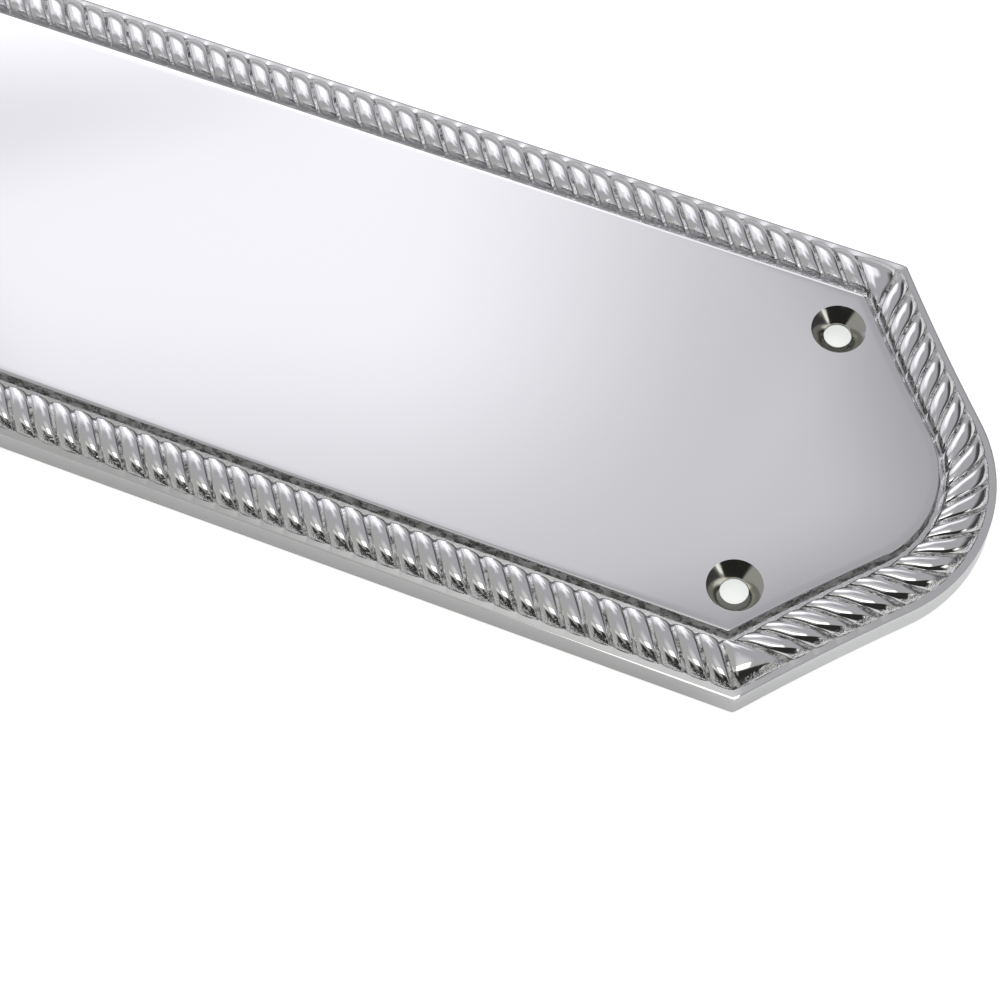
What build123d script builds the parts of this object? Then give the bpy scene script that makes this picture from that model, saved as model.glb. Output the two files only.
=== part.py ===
"""Cast door finger plate with a rope edge, ogee ends and four countersunk screw holes.

The plate is one casting, hollow behind its raised panel. It is modelled face up, with the
origin at the middle of its back, X along the plate and Z out of the door.
"""

from build123d import *
from math import asin, cos, pi, radians, sin, tan
import os

# Outline of the plate, seen from the front
length = 305.0  # over the two noses
width = 76.0
nose_radius = 24.4  # round tip of each end
nose_half_angle = 42.3  # degrees, from the tip to where the nose meets the shoulder
shoulder_radius = 385.0  # slight hollow between nose and corner
corner_radius = 0.8

# Heights, from the back
edge_height = 4.5  # side wall, up to the flat ledge round the rope
panel_height = 6.6
rope_height = 6.7  # crest of the rope's strands
groove_height = 5.95  # bottom of the grooves between them, at mid rope

# The border, measured inwards from the outline
ledge_width = 1.0
rope_width = 6.6
channel_width = 0.6  # narrow flat between the rope and the foot of the panel
panel_draft = 9.0  # degrees, lean of the panel's cast wall
panel_corner_radius = 0.8
edge_bevel = 0.3
panel_bevel = 0.3

# The rope's strands
strand_pitch = 3.57  # along the middle of the rope
side_slant = 36.0  # degrees from square to the border, on the long sides
end_slant = 46.0  # the same on the ogee ends
strand_curl = 0.12  # how much a strand turns along the rope at its two ends
strand_toe = 0.25  # how far the round end of a strand stands out past its grooves

# The hollow back
panel_wall = 2.2
hollow_rim = 2.4  # metal between the hollow and the foot of the panel's wall
hollow_draft = 9.0  # degrees
hollow_corner_radius = 2.0
hollow_bevel = 0.8

# The screw holes, one by each corner of the outline
hole_setback = 5.7  # inwards from the corner, along the plate
hole_edge = 15.5  # inwards from the long side
hole_radius = 2.05
sink_radius = 4.0
sink_angle = 96.0  # degrees, the whole cone

# A strand is shaped by ribs across it: how far along it each one lies, from its inner end,
# and the height of groove and crest there as shares of their heights at mid rope
RIBS = (
    (0.00, 0.00, 0.00),
    (0.12, 0.64, 0.76),
    (0.46, 1.00, 1.00),
    (0.83, 0.69, 0.82),
    (1.00, 0.00, 0.00),
)
RIB_FLATS = 4  # flats across a strand

# Worked out from the sizes above
phi = radians(nose_half_angle)
nose_x = length / 2 - nose_radius
shoulder_x = nose_x + (nose_radius + shoulder_radius) * cos(phi)
shoulder_y = (nose_radius + shoulder_radius) * sin(phi)
rope_inset = ledge_width + strand_toe
rope_reach = rope_width - 2 * strand_toe
rope_middle = rope_inset + rope_reach / 2
rope_inner = rope_inset + rope_reach
panel_foot = ledge_width + rope_width + channel_width
hollow_inset = panel_foot + hollow_rim


def corner_angle(inset):
    """Direction of the corner from the shoulder's centre, on the outline moved in by inset."""
    return asin((shoulder_y - width / 2 + inset) / (shoulder_radius + inset))


def corner_x(inset):
    """How far along the plate the corner lies, on the outline moved in by inset."""
    return shoulder_x - (shoulder_radius + inset) * cos(corner_angle(inset))


def nose_point(angle, inset):
    """Point on the right-hand nose, by its direction from the nose's centre."""
    reach = nose_radius - inset
    return Vector(nose_x + reach * cos(angle), reach * sin(angle))


def shoulder_point(angle, inset):
    """Point on the upper right-hand shoulder, by its direction from the shoulder's centre."""
    reach = shoulder_radius + inset
    return Vector(shoulder_x - reach * cos(angle), shoulder_y - reach * sin(angle))


def outline(inset, z, rounding):
    """Face inside the plate's outline moved in by inset: two straight sides and two ogee ends.

    The four corners between sides and ends are rounded off.
    """
    corner_at = corner_angle(inset)
    corner = shoulder_point(corner_at, inset)
    waist = shoulder_point((corner_at + phi) / 2, inset)
    meet = nose_point(phi, inset)
    tip = nose_point(0, inset)
    shoulder = Edge.make_three_point_arc(corner, waist, meet)
    nose = Edge.make_three_point_arc(meet, tip, Vector(meet.X, -meet.Y))
    side = Edge.make_line(corner, Vector(-corner.X, corner.Y))
    quarter = [shoulder, shoulder.mirror(Plane.XZ), nose]
    half = quarter + [edge.mirror(Plane.YZ) for edge in quarter]
    face = Face(Wire(half + [side, side.mirror(Plane.XZ)]))
    corners = [vertex for vertex in face.vertices() if abs(abs(vertex.Y) - corner.Y) < 0.01]
    face = face.fillet_2d(rounding, corners)
    upward = face if face.normal_at().Z > 0 else -face
    return Pos(0, 0, z) * upward


def end_point(station, inset):
    """Point on the right-hand end, by its distance from the tip along the rope's middle line."""
    nose_run = (nose_radius - rope_middle) * phi
    past = abs(station) - nose_run
    if past < 0:
        point = nose_point(abs(station) / (nose_radius - rope_middle), inset)
    else:
        point = shoulder_point(phi - past / (shoulder_radius + rope_middle), inset)
    return point if station > 0 else Vector(point.X, -point.Y)


def end_reach(inset):
    """Distance from the tip to the corner along the rope's middle line, at an inset."""
    past = (phi - corner_angle(inset)) * (shoulder_radius + rope_middle)
    return (nose_radius - rope_middle) * phi + past


def lean(share, slant):
    """How far a groove has run along the rope at a share of its length, from its middle."""
    curl = strand_curl * sin(2 * pi * share) / (2 * pi)
    return rope_reach * tan(radians(slant)) * (share + curl - 0.5)


def side_groove(x):
    """Plan of the groove across the near long side that passes x at mid rope."""
    inner_y = rope_inner - width / 2
    points = []
    for share, *heights in RIBS:
        points.append(Vector(x + lean(share, side_slant), inner_y - rope_reach * share))
    return points


def end_groove(station):
    """Plan of the groove across the right-hand end that passes a station at mid rope."""
    points = []
    for share, *heights in RIBS:
        points.append(end_point(station + lean(share, end_slant), rope_inner - rope_reach * share))
    return points


def spread(first, last):
    """Even places from first to last, about one strand apart."""
    steps = max(1, round((last - first) / strand_pitch))
    return [first + (last - first) * i / steps for i in range(steps + 1)]


def grooves():
    """All grooves round the plate, anticlockwise.

    On each side and end the first groove starts from the inner corner and the last one
    runs out to the outer corner, so that a fan shaped strand turns every corner.
    """
    side_lean = lean(1, side_slant)
    end_lean = lean(1, end_slant)
    side = spread(side_lean - corner_x(rope_inner), corner_x(rope_inset) - side_lean)
    end = spread(end_lean - end_reach(rope_inner), end_reach(rope_inset) - end_lean)
    half = [side_groove(x) for x in side] + [end_groove(s) for s in end]
    return half + [[Vector(-p.X, -p.Y) for p in groove] for groove in half]


def rib_points(a, b, rib, toe):
    """Points across a strand from groove to groove: a pillow, whose foot bows out by toe."""
    groove = (groove_height - edge_height) * rib[1]
    crest = (rope_height - edge_height) * rib[2]
    outward = Vector(b.Y - a.Y, a.X - b.X).normalized() * toe
    points = []
    for step in range(RIB_FLATS + 1):
        share = step / RIB_FLATS
        bow = 4 * share * (1 - share)
        flat = a + (b - a) * share + outward * bow
        points.append(Vector(flat.X, flat.Y, edge_height + groove + (crest - groove) * bow))
    return points


def strand_rows(groove, following):
    """Rows of points over the strand between two grooves, from its inner to its outer end."""
    toes = [-strand_toe] + [0] * (len(RIBS) - 2) + [strand_toe]
    return [rib_points(a, b, rib, toe) for a, b, rib, toe in zip(groove, following, RIBS, toes)]


def strand_skin(rows):
    """Ruled faces between neighbouring ribs of a strand."""
    faces = []
    for one, two in zip(rows, rows[1:]):
        for i in range(RIB_FLATS):
            near = Edge.make_line(one[i], one[i + 1])
            far = Edge.make_line(two[i], two[i + 1])
            faces.append(Face.make_surface_from_curves(near, far))
    return faces


def rope():
    """The rope moulding all round the plate, closed by its flat foot on the ledge's level."""
    lines = grooves()
    strands = [strand_rows(a, b) for a, b in zip(lines, lines[1:] + lines[:1])]
    skin = [face for rows in strands for face in strand_skin(rows)]
    inner = Wire.make_polygon([p for rows in strands for p in rows[0][:-1]], close=True)
    outer = Wire.make_polygon([p for rows in strands for p in rows[-1][:-1]], close=True)
    return Solid(Shell(skin + [Face(outer, [inner])]))


def block(foot_inset, low, high, draft, bevel, rounding):
    """Solid inside the outline moved in by foot_inset, which narrows by its draft to a bevelled top."""
    waist = high - bevel
    waist_inset = foot_inset + (waist - low) * tan(radians(draft))
    sections = [
        outline(foot_inset, low, rounding),
        outline(waist_inset, waist, rounding),
        outline(waist_inset + bevel, high, rounding),
    ]
    return loft(sections, ruled=True)


def slab():
    """The flat body of the plate, with upright sides, up to the ledge."""
    return block(0, 0, edge_height, 0, edge_bevel, corner_radius)


def panel():
    """The raised panel, with the leaning wall that the mould leaves round it."""
    return block(panel_foot, edge_height, panel_height, panel_draft, panel_bevel, panel_corner_radius)


def hollow():
    """The recess in the back, which leaves the panel an even wall."""
    roof = panel_height - panel_wall
    return block(hollow_inset, 0, roof, hollow_draft, hollow_bevel, hollow_corner_radius)


def screw_hole():
    """What one countersunk screw hole takes away, seen from the panel's face."""
    sink_depth = (sink_radius - hole_radius) / tan(radians(sink_angle / 2))
    shank = Cylinder(hole_radius, panel_height, align=(Align.CENTER, Align.CENTER, Align.MIN))
    sink = Cone(hole_radius, sink_radius, sink_depth, align=(Align.CENTER, Align.CENTER, Align.MAX))
    return shank + Pos(0, 0, panel_height) * sink


def finger_plate():
    """The whole casting: slab, panel and rope in one, less the hollow and the screw holes."""
    casting = slab() + panel() - hollow() + rope()
    spacing_x = 2 * (corner_x(0) - hole_setback)
    spacing_y = width - 2 * hole_edge
    for place in GridLocations(spacing_x, spacing_y, 2, 2):
        casting -= place * screw_hole()
    return casting


os.makedirs("parts", exist_ok=True)
plate = finger_plate()
plate.label = "finger_plate"
export_step(plate, "parts/finger_plate.step", write_pcurves=False)
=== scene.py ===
"""Cast and chromed door finger plate, lying on a white table under plain studio light."""

from math import asin, cos, pi, radians, sin, tan

import bpy
import numpy as np
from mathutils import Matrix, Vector
from mathutils.geometry import delaunay_2d_cdt


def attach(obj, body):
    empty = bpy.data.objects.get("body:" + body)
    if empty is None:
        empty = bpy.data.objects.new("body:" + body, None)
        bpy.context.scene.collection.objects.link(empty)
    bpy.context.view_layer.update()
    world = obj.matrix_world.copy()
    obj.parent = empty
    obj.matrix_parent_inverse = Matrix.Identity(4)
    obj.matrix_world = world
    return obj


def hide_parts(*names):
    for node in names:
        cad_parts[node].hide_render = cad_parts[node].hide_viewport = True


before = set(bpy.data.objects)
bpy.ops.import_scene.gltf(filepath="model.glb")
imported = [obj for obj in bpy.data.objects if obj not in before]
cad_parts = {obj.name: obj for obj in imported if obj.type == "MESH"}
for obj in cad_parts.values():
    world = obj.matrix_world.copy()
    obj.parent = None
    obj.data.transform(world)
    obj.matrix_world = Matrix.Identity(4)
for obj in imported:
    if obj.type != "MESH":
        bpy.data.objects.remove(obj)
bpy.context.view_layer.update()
mm = 0.001


# The casting's outline: two straight sides, and at each end a round nose between two slightly
# hollow shoulders. It is laid out from the middle of the plate's back, X along the plate.
length = 305 * mm
width = 76 * mm
nose_radius = 24.4 * mm
nose_half_angle = radians(42.3)
shoulder_radius = 385 * mm

nose_x = length / 2 - nose_radius
shoulder_x = nose_x + (nose_radius + shoulder_radius) * cos(nose_half_angle)
shoulder_y = (nose_radius + shoulder_radius) * sin(nose_half_angle)


def corner_angle(inset):
    """Direction of the corner from the shoulder's centre: the arcsine of its drop over the arc."""
    return np.arcsin((shoulder_y - width / 2 + inset) / (shoulder_radius + inset))


def corner_x(inset):
    """How far along the plate the corner lies, on the outline moved in by inset."""
    return shoulder_x - (shoulder_radius + inset) * np.cos(corner_angle(inset))


def end_reach(inset, line):
    """Run from the tip to the corner at an inset, measured along the line at another inset."""
    past = (nose_half_angle - corner_angle(inset)) * (shoulder_radius + line)
    return (nose_radius - line) * nose_half_angle + past


def end_points(run, inset, line):
    """Points on the right-hand end at an inset, by their run from the tip along a line.

    While the run is short the point goes round the nose's centre, and past that share it goes
    round the shoulder's centre. Both are arcs: centre + radius * (cos, sin) of run / radius.
    """
    on_nose = run / (nose_radius - line)
    past = np.abs(run) - (nose_radius - line) * nose_half_angle
    on_shoulder = nose_half_angle - past / (shoulder_radius + line)
    nose = np.stack([
        nose_x + (nose_radius - inset) * np.cos(on_nose),
        (nose_radius - inset) * np.sin(on_nose)], -1)
    shoulder = np.stack([
        shoulder_x - (shoulder_radius + inset) * np.cos(on_shoulder),
        np.sign(run) * (shoulder_y - (shoulder_radius + inset) * np.sin(on_shoulder))], -1)
    return np.where((past < 0)[..., None], nose, shoulder)


# The rope moulding, cast in one with the plate: strands laid aslant, side by side, all round it.
# Each is a pillow that the wheel has polished, between valleys that it can't reach, and a fan
# shaped one turns every corner.
ledge_width = 1.0 * mm
rope_width = 6.6 * mm
strand_toe = 0.25 * mm  # how far a strand's round end stands out past its valleys
strand_pitch = 3.57 * mm
side_slant = radians(36)  # from square to the border
end_slant = radians(46)
strand_curl = 0.12  # how much a strand turns along the rope at its two ends
ledge_rise = 0.24 * mm  # the cast ledge climbs a little towards the rope
edge_height = 4.5 * mm
rope_height = 6.7 * mm
groove_height = 5.95 * mm
crest_top = 0.33  # share of its length, from the inner end, where a strand is highest
side_valley = 0.42 * mm  # along the rope
end_valley = 0.4 * mm
inner_mouth = 0.2 * mm  # how much wider a valley opens at its inner end
toe_mouth = 0.2 * mm
tip_drop = 0.18  # what a strand's crest loses towards its inner end, before the fingertip
toe_drop = 0.24  # and towards its toe

rope_outer = ledge_width + strand_toe
rope_reach = rope_width - 2 * strand_toe
rope_inner = rope_outer + rope_reach
rope_middle = rope_outer + rope_reach / 2

ACROSS = 12  # samples from one valley's middle to the next
ALONG = 24  # rows from a strand's inner end to its toe


def lean(share, slant):
    """Run of a groove along the rope at a share of its length: straight, plus one sine wave."""
    curl = strand_curl * np.sin(2 * pi * share) / (2 * pi)
    return rope_reach * tan(slant) * (share + curl - 0.5)


def spread(first, last):
    """Even places from first to last, about one strand apart."""
    return np.linspace(first, last, max(1, round((last - first) / strand_pitch)) + 1)


side_lean = lean(1, side_slant)
end_lean = lean(1, end_slant)
side_lines = spread(side_lean - corner_x(rope_inner), corner_x(rope_outer) - side_lean)
end_lines = spread(end_lean - end_reach(rope_inner, rope_middle),
                   end_reach(rope_outer, rope_middle) - end_lean)
half_strands = len(side_lines) + len(end_lines)

share = (1 - np.cos(np.linspace(0, pi, ALONG))) / 2


def groove_plans():
    """Middle lines of the valleys, as [line, share along it, XY], anticlockwise round the plate.

    A side's line is (x + lean, a straight step outwards); an end's goes by runs on the ogee.
    """
    side_x = side_lines[:, None] + lean(share, side_slant)
    side_y = np.broadcast_to(rope_inner - width / 2 - rope_reach * share, side_x.shape)
    end_run = end_lines[:, None] + lean(share, end_slant)
    end = end_points(end_run, rope_inner - rope_reach * share, rope_middle)
    half = np.concatenate([np.stack([side_x, side_y], -1), end])
    return np.concatenate([half, -half])


def across_shares():
    """Places across every strand, from 0 at one valley's middle towards 1 at the next.

    Half a valley comes first, then the pillow, whose samples crowd towards its steep flanks
    as (1 - cosine) / 2 does. Valleys widen by squares: at the inner end into the strand before
    them, and at the toe into the one after. Returns [strand, place, along] and the pillow's own.
    """
    valley = np.full(half_strands, end_valley)
    valley[:len(side_lines)] = side_valley
    edge = np.tile(valley / strand_pitch / 2, 2)[:, None, None]
    before = edge + toe_mouth / strand_pitch * np.clip((share - 0.7) / 0.3, 0, 1) ** 2
    after = edge + inner_mouth / strand_pitch * np.clip((0.35 - share) / 0.35, 0, 1) ** 2
    pillow = (1 - np.cos(np.linspace(0, pi, ACROSS - 1))) / 2
    places = before + (1 - before - after) * pillow[:, None]
    return np.concatenate([np.zeros_like(before), places], 1), np.concatenate([[0], pillow])


def crest_share(share):
    """Height of a strand's crest along it: two parabolas that meet at its highest point.

    The inner end is cut by a round fingertip, a quarter ellipse, and the outer end by a toe,
    (1 - distance ** 4) ** 0.6.
    """
    inner = np.clip((crest_top - share) / crest_top, 0, 1)
    outer = np.clip((share - crest_top) / (1 - crest_top), 0, 1)
    fingertip = (1 - np.clip((inner - 0.76) / 0.24, 0, 1) ** 2) ** 0.5
    toe = (1 - np.clip((share - 0.5) / 0.5, 0, 1) ** 4) ** 0.6
    return (1 - tip_drop * inner ** 2) * (1 - toe_drop * outer ** 2) * fingertip * toe


def groove_share(share):
    """Height of a valley along the strand: a flat middle, falling to 0 at both ends.

    It is (1 - distance ** 8) ** 0.7 inwards and (1 - distance ** 2.2) ** 0.75 outwards.
    """
    inner = np.clip((0.5 - share) / 0.5, 0, 1)
    outer = np.clip((share - 0.5) / 0.5, 0, 1)
    return (1 - inner ** 8) ** 0.7 * (1 - outer ** 2.2) ** 0.75


def rope_grid():
    """The rope as [strand, place across, place along, XYZ].

    Between two valleys a point is their straight blend, bowed out at the toe and back at the
    inner end. Its height is the valley's plus (4 * place * (1 - place)) ** power of the way to
    the crest, where the power grows towards the toe, whose flanks are rounder.
    """
    lines = groove_plans()
    following = np.roll(lines, -1, 0)
    across, pillow = across_shares()
    blend = across[..., None]
    plan = lines[:, None] * (1 - blend) + following[:, None] * blend
    chord = following - lines
    outward = np.stack([chord[..., 1], -chord[..., 0]], -1)
    outward /= np.linalg.norm(outward, axis=-1, keepdims=True)
    bow = (4 * across * (1 - across)) ** 0.6
    toe = np.clip((share - 0.75) / 0.25, 0, 1) ** 2
    tip = np.clip((0.2 - share) / 0.2, 0, 1) ** 2
    plan = plan + outward[:, None] * (bow * (toe - 0.3 * tip) * strand_toe)[..., None]
    power = 0.38 + 0.4 * np.clip((share - 0.6) / 0.4, 0, 1) ** 2
    round_over = (4 * pillow * (1 - pillow))[:, None] ** power
    foot = edge_height + ledge_rise * share ** 8
    floor = (groove_height - foot) * groove_share(share)
    crest = (rope_height - foot) * crest_share(share)
    height = foot + floor + round_over * (crest - floor)
    height = np.broadcast_to(height, plan.shape[:3])
    return np.concatenate([plan, height[..., None]], -1)


def ring_runs(outer):
    """Where every sample of the rope's outer or inner edge lies, as a share of its side or end.

    Fans belong to the end or side on whose corner they open out. Returns the shares from -1 to 1,
    whether each lies on a side, and -1 for a last fan that is already on the other long side.
    """
    other = np.ones(half_strands)
    across = across_shares()[0][:half_strands, :, -1 if outer else 0]
    if outer:
        side = side_lines + side_lean
        end = end_lines + end_lean
        side_end = corner_x(rope_outer)
        end_end = end_reach(rope_outer, rope_middle)
        starts = np.concatenate([side[:-1] / side_end, [-1], end[:-1] / end_end, [-1]])
        stops = np.concatenate([side[1:] / side_end, [end[0] / end_end], end[1:] / end_end,
                                [side[0] / side_end]])
        on_side = np.arange(half_strands) < len(side) - 1
        on_side[-1] = True
        other[-1] = -1
    else:
        side = side_lines - side_lean
        end = end_lines - end_lean
        side_end = corner_x(rope_inner)
        end_end = end_reach(rope_inner, rope_middle)
        starts = np.concatenate([side / side_end, end / end_end])
        stops = np.concatenate([side[1:] / side_end, [1], end[1:] / end_end, [1]])
        on_side = np.arange(half_strands) < len(side)
    places = starts[:, None] + across * (stops - starts)[:, None]
    return places.ravel(), np.repeat(on_side, ACROSS), np.repeat(other, ACROSS)


def ring(places, on_side, other, inset, height, rounding):
    """A closed row round the plate at an inset and height, with its four corners rounded off.

    A point is corner * share on a side and the ogee at reach * share on an end. Near a corner it
    moves onto the circle that touches both, by its angle round that circle's centre.
    """
    side = np.stack([places * corner_x(inset), np.full_like(places, inset - width / 2)], -1)
    end = end_points(places * end_reach(inset, rope_middle), inset, rope_middle)
    plan = np.where(on_side[:, None], side, end) * other[:, None]
    if rounding > 0:
        centre_y = width / 2 - inset - rounding
        drop = shoulder_y - centre_y
        centre_x = shoulder_x - ((shoulder_radius + inset + rounding) ** 2 - drop ** 2) ** 0.5
        turn = asin(drop / (shoulder_radius + inset + rounding))
        tangent = np.array([centre_x, centre_y])
        away = np.abs(plan) - tangent
        angle = np.arctan2(away[:, 1], away[:, 0])
        near = (angle < pi / 2) & (angle > turn) & (np.hypot(*away.T) > rounding)
        rounded = tangent + rounding * np.stack([np.cos(angle), np.sin(angle)], -1)
        plan = np.where(near[:, None], np.sign(plan) * rounded, plan)
    plan = np.concatenate([plan, -plan])
    return np.concatenate([plan, np.full((len(plan), 1), height)], 1)


# The body of the brass casting: a slab whose narrow ledge climbs to the rope, a raised panel whose
# wall leans as the mould left it, and behind it a hollow that keeps the metal thin. The sides, the
# ledge and the panel's face are ground flat and buffed.
panel_height = 6.6 * mm
panel_foot = 8.2 * mm
panel_draft = radians(9)
panel_bevel = 0.15 * mm
panel_corner = 0.8 * mm
channel_rise = 0.2 * mm  # from the rope up to the foot of the panel's wall
channel_end = 0.1 * mm  # a last row this far before the wall keeps the channel straight
rim_width = 1.2 * mm  # the buffing wheel has worn the panel's rim down a little
rim_drop = 0.015 * mm
RIM_STEPS = 3
edge_bevel = 0.1 * mm
edge_wear = 0.2 * mm  # the ledge's outer strip, which buffing has worn aslant
wear_drop = 0.07 * mm
slab_corner = 0.8 * mm
hollow_foot = 10.6 * mm
hollow_height = 4.4 * mm
hollow_draft = radians(9)
hollow_bevel = 0.8 * mm
hollow_corner = 2.0 * mm


def rounded_rows(foot_inset, low, high, draft, bevel, steps):
    """(inset, height) pairs up a leaning wall and over its rounded top edge, a quarter circle."""
    waist = foot_inset + (high - bevel - low) * tan(draft)
    turn = np.linspace(0, pi / 2, steps)
    over = [(waist + bevel * (1 - cos(a)), high - bevel + bevel * sin(a)) for a in turn]
    return [(foot_inset, low)] + over


outer_runs = ring_runs(True)
inner_runs = ring_runs(False)
hollow_rows = rounded_rows(hollow_foot, 0, hollow_height, hollow_draft, hollow_bevel, 3)
edge_rows = rounded_rows(0, 0, edge_height, 0, edge_bevel, 3)
for run, rise in ((0.12, 0.12), (1, 1), (1.15, 1.09)):  # the strip, held straight at both edges
    edge_rows.append((edge_bevel + edge_wear * run, edge_height + wear_drop * rise))
channel_top = edge_height + channel_rise
rim_height = panel_height - rim_drop
panel_rows = rounded_rows(panel_foot, channel_top, rim_height, panel_draft, panel_bevel, 4)
rim_start = panel_rows[-1][0]
for step in np.linspace(0, 1, RIM_STEPS + 1)[1:]:
    panel_rows.append((rim_start + rim_width * step, panel_height - rim_drop * (1 - step) ** 2))
rope = rope_grid()
rope_rows = rope.transpose(2, 0, 1, 3).reshape(ALONG, -1, 3)[::-1]
rows = [ring(*outer_runs, inset, z, hollow_corner) for inset, z in hollow_rows[::-1]]
rows += [ring(*outer_runs, inset, z, slab_corner) for inset, z in edge_rows]
rows += list(rope_rows)
rows.append(ring(*inner_runs, panel_foot - channel_end, channel_top, panel_corner))
rows += [ring(*inner_runs, inset, z, panel_corner) for inset, z in panel_rows]
grid = np.stack(rows)


# Four countersunk screw holes, drilled and turned after casting: a cone for the screw's head
# down to a short plain hole through the thin panel.
hole_setback = 5.7 * mm  # from the corner, along the plate
hole_edge = 15.5 * mm  # from the long side
hole_radius = 2.05 * mm
sink_radius = 4.0 * mm
sink_angle = radians(96)  # the whole cone
sink_lip = 0.05 * mm
broken_edge = 0.04 * mm
HOLE_STEPS = 72

hole_x = corner_x(0) - hole_setback
hole_y = width / 2 - hole_edge
sink_foot = panel_height - (sink_radius - hole_radius) / tan(sink_angle / 2)
hole_rows = [
    (sink_radius + sink_lip, panel_height),
    (sink_radius, panel_height - broken_edge),
    (hole_radius + broken_edge, sink_foot + broken_edge),
    (hole_radius, sink_foot - broken_edge / 2),
    (hole_radius, hollow_height),
]


def hole_grid(x, y):
    """Rows of circles down one screw hole, from the panel's face to the roof of the hollow.

    A row is centre + radius * (cos, sin) of the turn, at one height.
    """
    turn = np.linspace(0, 2 * pi, HOLE_STEPS, endpoint=False)
    circle = np.stack([np.cos(turn), np.sin(turn)], -1)
    rows = []
    for radius, z in hole_rows:
        plan = np.array([x, y]) + radius * circle
        rows.append(np.concatenate([plan, np.full((HOLE_STEPS, 1), z)], 1))
    return np.stack(rows)


holes = np.stack([hole_grid(sx * hole_x, sy * hole_y)
                  for sx, sy in ((1, 1), (-1, 1), (-1, -1), (1, -1))])


# The casting's skin, all of one piece. Rows run round the plate from the hollow's roof, over the
# back, side, ledge, rope and channel to the panel, and two flat faces pierced by the holes close
# it at the roof and at the panel's face.
def strip_faces(start, rows, around):
    """Quads of a grid of closed rows: each point with its neighbour round and the two above."""
    index = start + np.arange(rows * around).reshape(rows, around)
    low, high = index[:-1], index[1:]
    return np.stack([low, np.roll(low, -1, 1), np.roll(high, -1, 1), high], -1).reshape(-1, 4)


def pierced_face(points, loops, outward):
    """Triangles between an outer loop and the loops of its holes, as vertex numbers.

    All that the outer loop holds is filled, less the triangles that lie on one hole's loop alone.
    """
    numbers = np.concatenate(loops)
    owner = np.repeat(np.arange(len(loops)), [len(loop) for loop in loops])
    edges = []
    start = 0
    for loop in loops:
        ring_numbers = np.arange(len(loop)) + start
        edges.append(np.stack([ring_numbers, np.roll(ring_numbers, -1)], 1))
        start += len(loop)
    plan = [Vector(p) for p in points[numbers, :2].tolist()]
    found = delaunay_2d_cdt(plan, np.concatenate(edges).tolist(), [], 1, 1e-7)
    origin = np.array([old[0] for old in found[3]])
    faces = origin[np.array(found[2])]
    first, second, third = owner[faces].T
    plugs = (first > 0) & (first == second) & (second == third)
    faces = numbers[faces[~plugs]]
    return faces if outward else faces[:, ::-1]


row_count, around = grid.shape[:2]
points = np.concatenate([grid.reshape(-1, 3), holes.reshape(-1, 3)])
hole_start = row_count * around
hole_size = len(hole_rows) * HOLE_STEPS
quads = [strip_faces(0, row_count, around)]
top_loops = [np.arange((row_count - 1) * around, row_count * around)]
roof_loops = [np.arange(around)]
for hole in range(4):
    start = hole_start + hole * hole_size
    quads.append(strip_faces(start, len(hole_rows), HOLE_STEPS))
    top_loops.append(np.arange(start, start + HOLE_STEPS))
    roof_loops.append(np.arange(start + hole_size - HOLE_STEPS, start + hole_size))
quads = np.concatenate(quads)
face = pierced_face(points, top_loops, True)
roof = pierced_face(points, roof_loops, False)
caps = np.concatenate([face, roof])

mesh = bpy.data.meshes.new("finger_plate_casting")
mesh.from_pydata(points.tolist(), [], quads.tolist() + caps.tolist())
mesh.validate()
mesh.shade_smooth()
mesh.set_sharp_from_angle(angle=radians(32))
casting = bpy.data.objects.new("finger_plate_casting", mesh)
bpy.context.collection.objects.link(casting)
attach(casting, "root")
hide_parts("finger_plate")


# Chrome plate over cast brass: mirror bright on the buffed faces, and dull and grainy where the
# buffing wheel doesn't reach, down in the valleys, on the panel's wall and in the hollow. The
# turned holes mirror less, and are a little warmer.
# The dull skin's near-black blotches are partly its own dull cast grain and partly painted shade in
# its pits.
chrome_tint = (0.722, 0.722, 0.732, 1)
cast_tint = (0.75, 0.75, 0.74, 1)
pit_and_shade_tint = (0.12, 0.12, 0.11, 1)
turned_tint = (0.5, 0.495, 0.465, 1)
polished_roughness = 0.07
cast_roughness = 0.42
turned_roughness = 0.05  # on top of the polished
grain = 0.28 * mm  # across a grain of the cast skin
grain_relief = 0.22 * mm
blotch = 1.3 * mm  # across one of its wider patches
blotch_relief = 0.5 * mm

# How rough the casting is, from 0, buffed, to 1, as cast
valley_rough = 0.35  # a valley's inner end; further out it is as cast
toe_rough = 0.35
tip_rough = 0.42  # inner ends of the far side's strands
channel_rough = 0.12
far_wall_rough = 0.1  # the far side's channel and panel wall are cleaner


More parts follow.
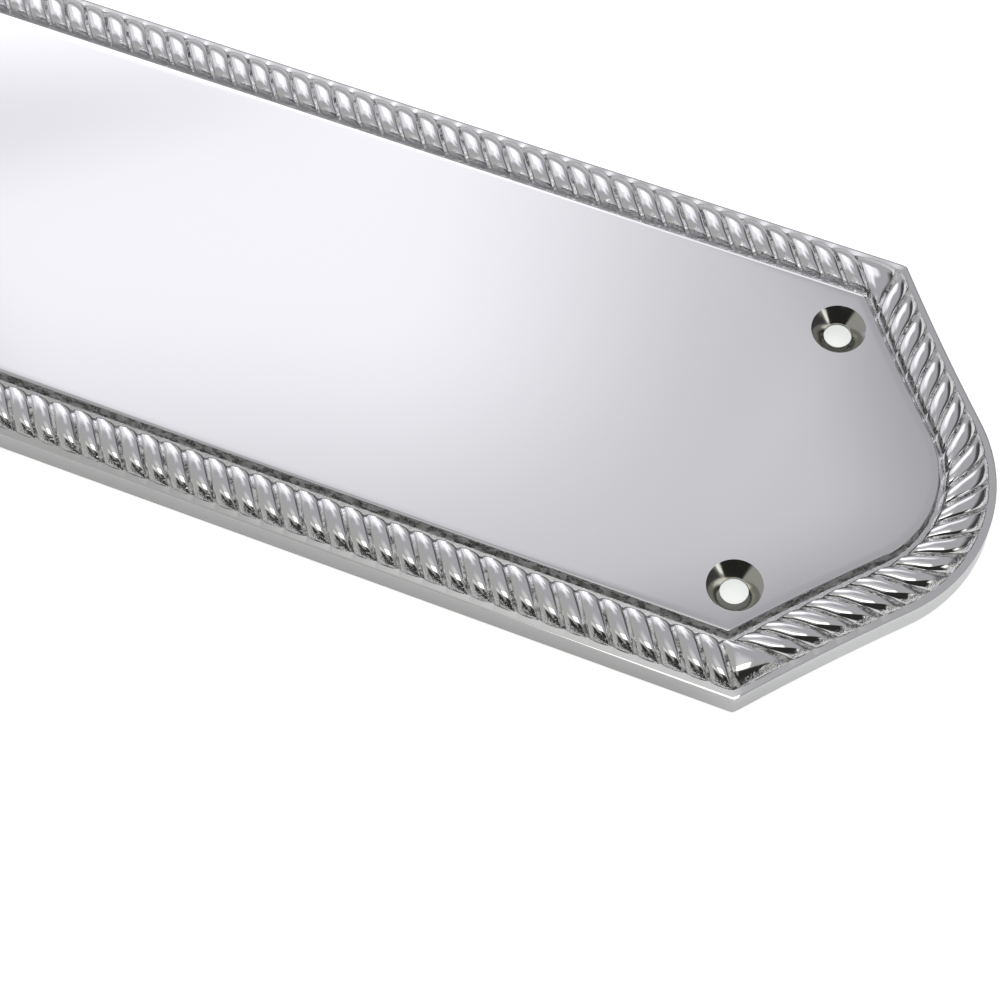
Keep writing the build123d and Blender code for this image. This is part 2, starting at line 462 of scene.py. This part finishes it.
class Wire:
    """One output socket of a shader. Sums and products of wires and numbers add Math nodes."""

    def __init__(self, tree, socket=None):
        self.tree = tree
        self.socket = socket

    def node(self, kind, settings, inputs, output=0):
        """Adds a node of a kind: its settings are set first, then its sockets' values or links."""
        made = self.tree.nodes.new(kind)
        for name, value in settings.items():
            setattr(made, name, value)
        for name, value in inputs.items():
            if isinstance(value, Wire):
                self.tree.links.new(value.socket, made.inputs[name])
            else:
                made.inputs[name].default_value = value
        return Wire(self.tree, made.outputs[output])

    def math(self, operation, first, second):
        return self.node("ShaderNodeMath", {"operation": operation}, {0: first, 1: second})

    def __add__(self, other):
        return self.math("ADD", self, other)

    def __sub__(self, other):
        return self.math("SUBTRACT", self, other)

    def __rsub__(self, other):
        return self.math("SUBTRACT", other, self)

    def __mul__(self, other):
        return self.math("MULTIPLY", self, other)

    def __truediv__(self, other):
        return self.math("DIVIDE", self, other)

    def __pow__(self, other):
        return self.math("POWER", self, other)

    __radd__ = __add__
    __rmul__ = __mul__

    def smooth(self, low, high):
        """0 below low and 1 above high, with a smooth step between; low may be the greater."""
        return self.node("ShaderNodeMapRange", {"interpolation_type": "SMOOTHSTEP"},
                         {"Value": self, "From Min": low, "From Max": high})

    def mix(self, share, first, second):
        """The first colour where share is 0 and the second where it is 1."""
        return self.node("ShaderNodeMix", {"data_type": "RGBA"}, {0: share, 6: first, 7: second}, 2)


def new_material(name):
    """An empty material that uses nodes, as (material, wire to build on, its output node)."""
    material = bpy.data.materials.new(name)
    material.use_nodes = True
    material.node_tree.nodes.clear()
    output = material.node_tree.nodes.new("ShaderNodeOutputMaterial")
    return material, Wire(material.node_tree), output


def finish_attribute():
    """How rough each point is, from 0 to 1, and whether it is turned, as two lists of values.

    Rows are rough by kind. Across the rope a strand's first two and last samples are its valleys,
    and clipped straight ramps along it make the valleys, the toe and the inner tip rough.
    """
    rough = np.zeros(grid.shape[:2])
    rough[:len(hollow_rows)] = 1
    along = share[::-1]
    strand = np.zeros((ALONG, 2 * half_strands, ACROSS))
    valley = valley_rough + (1 - valley_rough) * np.clip((along - 0.2) / 0.2, 0, 1)
    strand[:, :, [0, 1, -1]] = valley[:, None, None]
    toe = toe_rough * np.clip((along - 0.88) / 0.04, 0, 1)
    strand = np.maximum(strand, toe[:, None, None])
    tip = tip_rough * np.clip((0.16 - along) / 0.06, 0, 1)
    far_side = slice(half_strands, half_strands + len(side_lines))
    strand[:, far_side] = np.maximum(strand[:, far_side], tip[:, None, None])
    rope_start = len(hollow_rows) + len(edge_rows)
    channel = rope_start + ALONG
    rough[rope_start:channel] = strand.reshape(ALONG, -1)
    rough[rope_start] = 0
    rough[channel - 1:channel + 1] = channel_rough
    rough[channel + 1:channel + 3] = 1
    far_samples = slice(far_side.start * ACROSS, far_side.stop * ACROSS)
    rough[channel - 1:channel + 3, far_samples] = far_wall_rough
    turned = np.zeros((4, len(hole_rows), HOLE_STEPS))
    turned[:, 1:] = 1
    cast_points = np.concatenate([rough.ravel(), np.zeros(turned.size)])
    turned_points = np.concatenate([np.zeros(rough.size), turned.ravel()])
    return cast_points, turned_points


cast_points, turned_points = finish_attribute()
for name, values in (("cast", cast_points), ("turned", turned_points)):
    layer = mesh.attributes.new(name, "FLOAT", "POINT")
    layer.data.foreach_set("value", values.astype(np.float32))

chrome, wire, output = new_material("chrome_plate")
place = wire.node("ShaderNodeTexCoord", {}, {}, "Object")
cast = wire.node("ShaderNodeAttribute", {"attribute_name": "cast"}, {}, "Fac")
turned = wire.node("ShaderNodeAttribute", {"attribute_name": "turned"}, {}, "Fac")
fine = wire.node("ShaderNodeTexNoise", {},
                 {"Vector": place, "Scale": 1 / grain, "Detail": 3}, "Fac")
broad = wire.node("ShaderNodeTexNoise", {},
                  {"Vector": place, "Scale": 1 / blotch, "Detail": 2}, "Fac")
# Dark blotches of the cast skin: partly its dull grain, partly painted shade in its pits
pits_and_shade = (0.4 + 0.6 * fine.smooth(0.42, 0.58)) * broad.smooth(0.42, 0.58)
rough_metal = wire.mix(pits_and_shade, cast_tint, pit_and_shade_tint)
smooth_metal = wire.mix(turned, chrome_tint, turned_tint)
metal = wire.mix(cast.smooth(0.45, 1), smooth_metal, rough_metal)
relief = ((fine - 0.5) * grain_relief + (broad - 0.5) * blotch_relief) * cast
bump = wire.node("ShaderNodeBump", {}, {"Strength": 1, "Distance": 1, "Height": relief})
chrome_shader = wire.node("ShaderNodeBsdfPrincipled", {}, {
    "Base Color": metal,
    "Metallic": 1,
    "Roughness": (polished_roughness + cast * (cast_roughness - polished_roughness)
                  + turned_roughness * turned),
    "Normal": bump,
})
wire.tree.links.new(chrome_shader.socket, output.inputs["Surface"])
mesh.materials.append(chrome)


# The white table, which runs on past the picture. To the camera it is paper white, apart from the
# plate's own soft shadow. Only in the metal's reflections, a painted glow brightens it past the
# plate's end, so the metal mirrors it greyer beside the plate than there.
table_size = 3
table_albedo = (0.8, 0.8, 0.8, 1)
table_glow = 0.72
glow_tint = (0.97, 1, 0.975, 1)
mirrored_beside = 0.22  # share of the glow that the metal mirrors
# Painted glow: past the plate's end the table glows this much brighter, for the metal's reflections
# only
painted_glow_gain = 0.4  # how much more of it past the end
painted_glow_start = 115 * mm
painted_glow_end = 145 * mm

floor_corners = [(x * table_size, y * table_size, 0) for x, y in ((-1, -1), (1, -1), (1, 1), (-1, 1))]
floor_mesh = bpy.data.meshes.new("table")
floor_mesh.from_pydata(floor_corners, [], [(0, 1, 2, 3)])
floor = bpy.data.objects.new("table", floor_mesh)
bpy.context.collection.objects.link(floor)

white, wire, output = new_material("white_table")
camera_ray = wire.node("ShaderNodeLightPath", {}, {}, "Is Camera Ray")
glossy_ray = wire.node("ShaderNodeLightPath", {}, {}, "Is Glossy Ray")
place = wire.node("ShaderNodeTexCoord", {}, {}, "Object")
along_plate = wire.node("ShaderNodeSeparateXYZ", {}, {"Vector": place}, "X")
# The even share that the metal mirrors, plus the painted glow past the plate's end
mirrored_and_painted_glow = mirrored_beside + painted_glow_gain * along_plate.smooth(painted_glow_start, painted_glow_end)
strength = (camera_ray + mirrored_and_painted_glow * glossy_ray) * table_glow
paper = wire.node("ShaderNodeBsdfDiffuse", {}, {"Color": table_albedo})
glow = wire.node("ShaderNodeEmission", {}, {"Color": glow_tint, "Strength": strength})
both = wire.node("ShaderNodeAddShader", {}, {0: paper, 1: glow})
wire.tree.links.new(both.socket, output.inputs["Surface"])
floor_mesh.materials.append(white)


# The studio: a dim room that pales overhead. Soft boxes hang in it for the polished metal to
# mirror as highlights, and two dark openings give the metal its black edges.
near_tone = (1, 1, 0.96, 1)
far_tone = (0.99, 0.98, 1.02, 1)


def towards(azimuth, elevation):
    """Unit vector at an azimuth from +X towards +Y and an elevation, both in degrees."""
    a, e = radians(azimuth), radians(elevation)
    return np.array([cos(a) * cos(e), sin(a) * cos(e), sin(e)])


def soft_box(azimuth, elevation, half_size, feather, turn=0):
    """Brightness, 0 to 1, of a rectangular soft box seen along the ray.

    The ray is laid on the plane across the box's direction, as (ray . side) / (ray . middle), and
    each side of the box fades over the feather by a smooth step.
    """
    middle = towards(azimuth, elevation)
    level = np.cross([0, 0, 1], middle)
    level /= np.linalg.norm(level)
    upright = np.cross(middle, level)
    t = radians(turn)
    sides = (level * cos(t) + upright * sin(t), upright * cos(t) - level * sin(t))
    dot = {"operation": "DOT_PRODUCT"}
    depth = wire.node("ShaderNodeVectorMath", dot, {0: ray, 1: tuple(middle)}, "Value")
    light = depth.smooth(0, 0.1)
    for side, half, soft in zip(sides, half_size, feather):
        off = wire.node("ShaderNodeVectorMath", dot, {0: ray, 1: tuple(side)}, "Value") / depth
        light = light * wire.math("ABSOLUTE", off, 0).smooth(half + soft, half)
    return light


world = bpy.data.worlds.new("studio")
bpy.context.scene.world = world
world.use_nodes = True
world.node_tree.nodes.clear()
wire = Wire(world.node_tree)
ray = wire.node("ShaderNodeTexCoord", {}, {}, "Generated")
height = wire.node("ShaderNodeSeparateXYZ", {}, {"Vector": ray}, "Z")
room = 0.5 + 0.3 * height.smooth(0.94, 1)

# High behind the plate: these lie on the panel as its pale left and middle, and on the far side
wall = 0.5 * soft_box(142.5, 36, half_size=(0.43, 0.255), feather=(0.2, 0.16), turn=-30.7)
key = 0.29 * soft_box(117.7, 59.2, half_size=(0.132, 0.096), feather=(0.064, 0.042), turn=10.7)
window = 0.7 * soft_box(115, 42, half_size=(0.25, 0.13), feather=(0.16, 0.08))
streak = 0.03 * soft_box(101, 59.5, half_size=(0.004, 0.04), feather=(0.012, 0.03), turn=-28)

# Overhead and in front: the white spots on the near toes, and the slivers in the holes
spot = 1.8 * soft_box(-58, 74, half_size=(0.26, 0.14), feather=(0.05, 0.03))
fill = 0.35 * soft_box(-108, 55, half_size=(0.3, 0.12), feather=(0.15, 0.06))
side = 1.3 * soft_box(-12, 26, half_size=(0.08, 0.11), feather=(0.04, 0.05))

# The dark openings: one behind the camera, the other low to the right
behind = 0.94 * soft_box(-66, 34, half_size=(0.85, 0.52), feather=(0.4, 0.12))
doorway = 0.85 * soft_box(35, 10, half_size=(0.5, 0.2), feather=(0.5, 0.45))

boxes = wall + key + window + streak + spot + fill + side
light = room * (1 - behind) * (1 - doorway) + boxes
depth = wire.node("ShaderNodeSeparateXYZ", {}, {"Vector": ray}, "Y")
tone = wire.mix(depth.smooth(-0.2, 0.3), near_tone, far_tone)
background = wire.node("ShaderNodeBackground", {}, {"Color": tone, "Strength": light})
output = world.node_tree.nodes.new("ShaderNodeOutputWorld")
world.node_tree.links.new(background.socket, output.inputs["Surface"])


# The camera, at the photographer's place and angle: over the near side of the plate's right-hand
# end, looking down and a little to the left.
lens = bpy.data.cameras.new("camera")
lens.sensor_width = 36
lens.lens = 93.8
camera = bpy.data.objects.new("camera", lens)
camera.location = (0.1572, -0.1795, 0.3348)
camera.rotation_euler = (0.48348, 0.01809, 0.38710)
bpy.context.collection.objects.link(camera)
bpy.context.scene.camera = camera
bpy.context.scene.view_settings.view_transform = "Standard"
